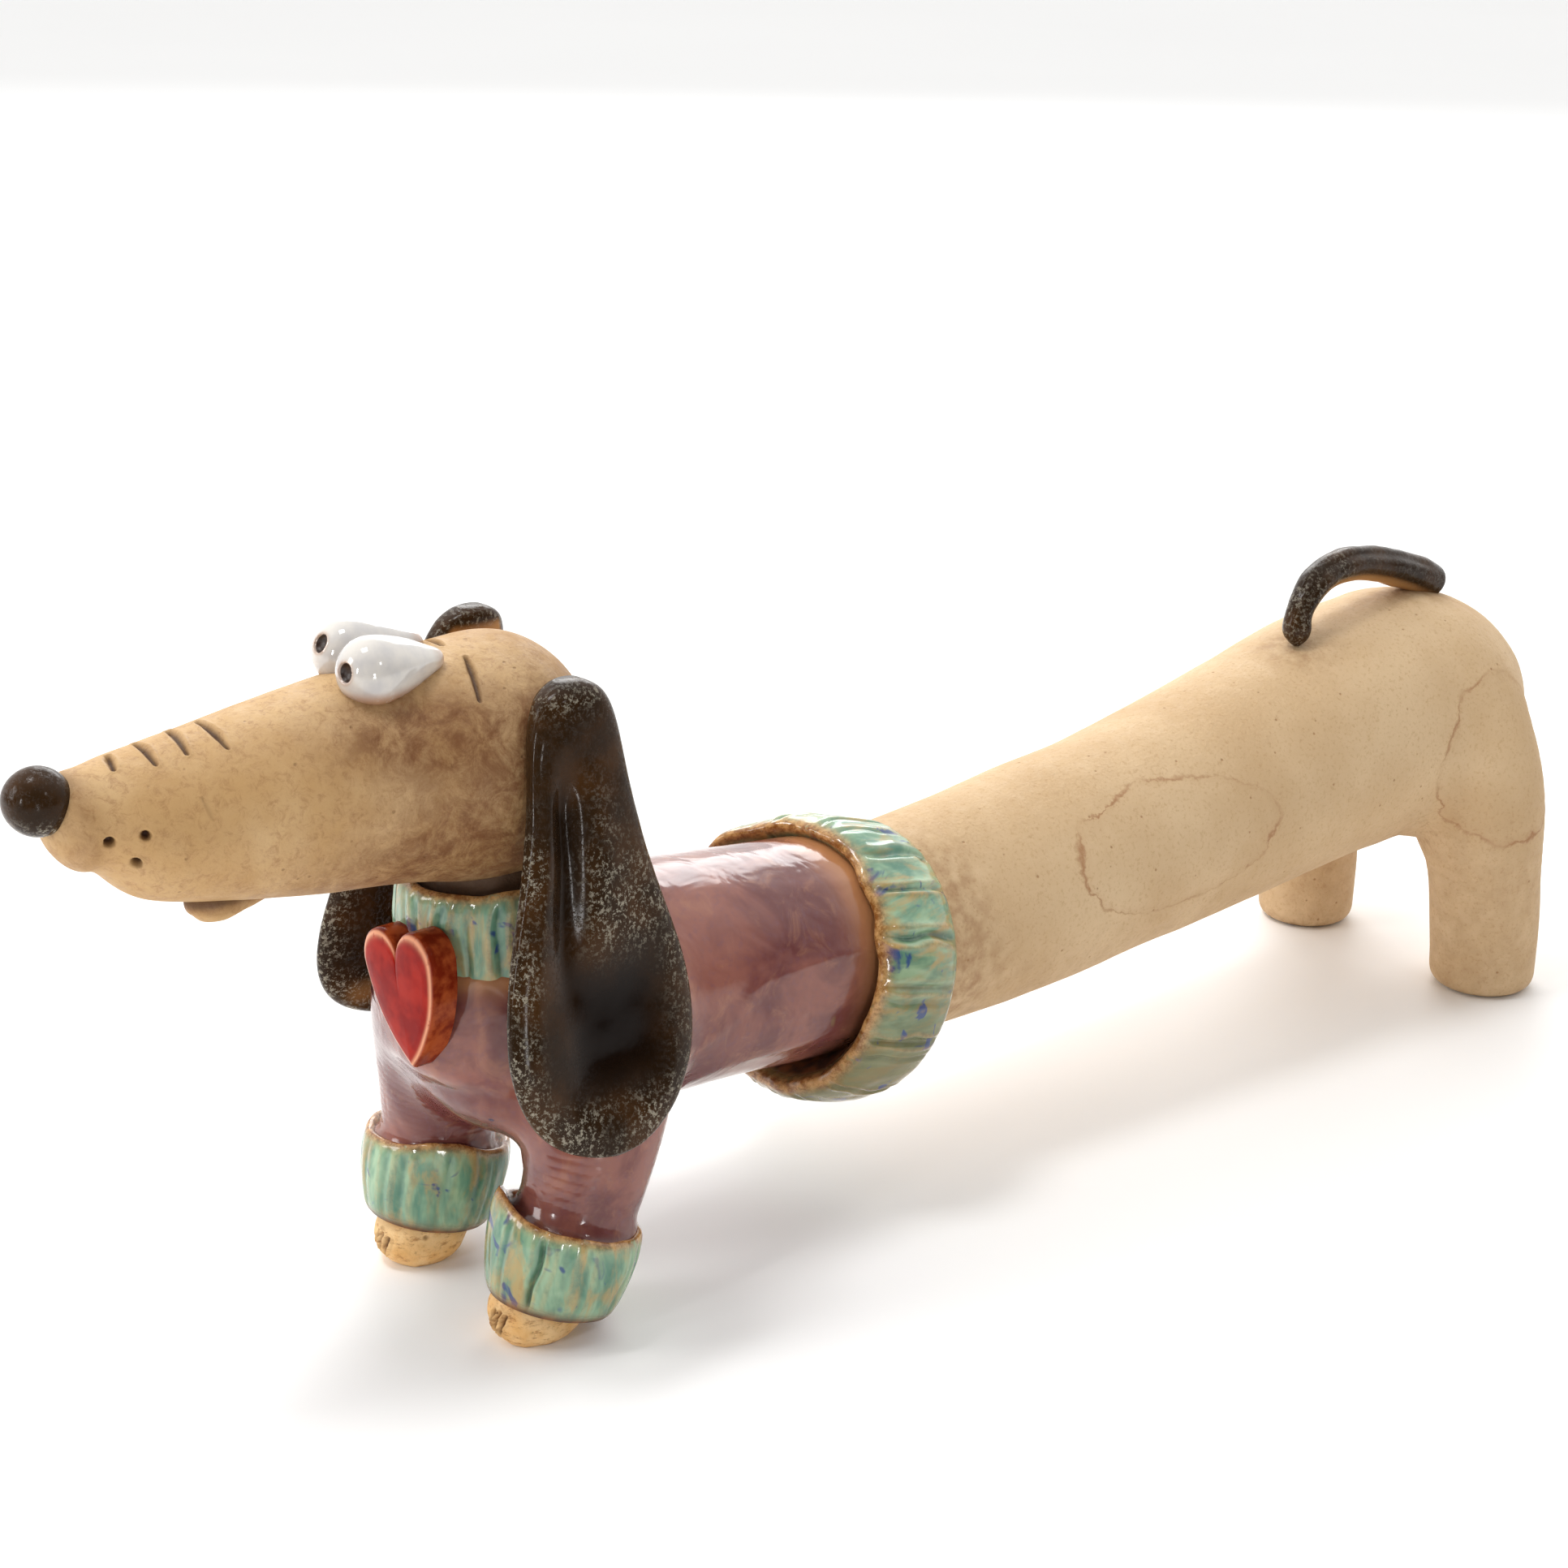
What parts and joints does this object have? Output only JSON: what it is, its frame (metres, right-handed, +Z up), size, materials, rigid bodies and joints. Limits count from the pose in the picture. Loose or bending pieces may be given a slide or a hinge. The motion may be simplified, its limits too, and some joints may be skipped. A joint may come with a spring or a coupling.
{
  "type": "ceramic dog figurine",
  "caption": "Free-standing hand-built stoneware dachshund with a hollow tube body, a glazed ribbed sweater, hanging ears, applied eyes, nose and tail, and a heart tile on its chest.",
  "frame": {"origin": "on the floor, under the middle of the figurine's length and width", "axes": "+Z up, the dog faces -Y, its left side is +X"},
  "size_m": [0.0722, 0.328, 0.1138],
  "materials": {
    "body_clay": "bisque-fired buff stoneware, matt, fine pits and faint brown water lines",
    "head_clay": "bisque buff stoneware rubbed with brown iron wash, matt",
    "paw_clay": "bare orange-tan stoneware, matt and pitted",
    "sweater_glaze": "glossy dusty mauve glaze with tan breaking and small blue specks",
    "celadon_glaze": "glossy blue-green glaze over ribs, breaking tan on the ridges",
    "dark_glaze": "glossy brown-black glaze with silvery grey crystals",
    "white_glaze": "glossy white glaze, tan where it thins at the edges",
    "pupil_oxide": "iron oxide in a pricked hole, satin",
    "red_glaze": "glossy red glaze, pale where it breaks over the edge"
  },
  "bodies": {
    "root": {"rear_body": "body_clay", "left_rear_leg": "body_clay", "right_rear_leg": "body_clay", "head": "head_clay", "neck": "head_clay", "lower_lip": "head_clay", "left_front_paw": "paw_clay", "right_front_paw": "paw_clay", "sweater_body": "sweater_glaze", "left_sleeve": "sweater_glaze", "right_sleeve": "sweater_glaze", "hem_cuff": "celadon_glaze", "collar": "celadon_glaze", "left_sleeve_cuff": "celadon_glaze", "right_sleeve_cuff": "celadon_glaze", "left_ear": "dark_glaze", "right_ear": "dark_glaze", "nose": "dark_glaze", "tail": "dark_glaze", "left_eye": "white_glaze", "right_eye": "white_glaze", "left_pupil": "pupil_oxide", "right_pupil": "pupil_oxide", "heart": "red_glaze"}
  },
  "joints": []
}
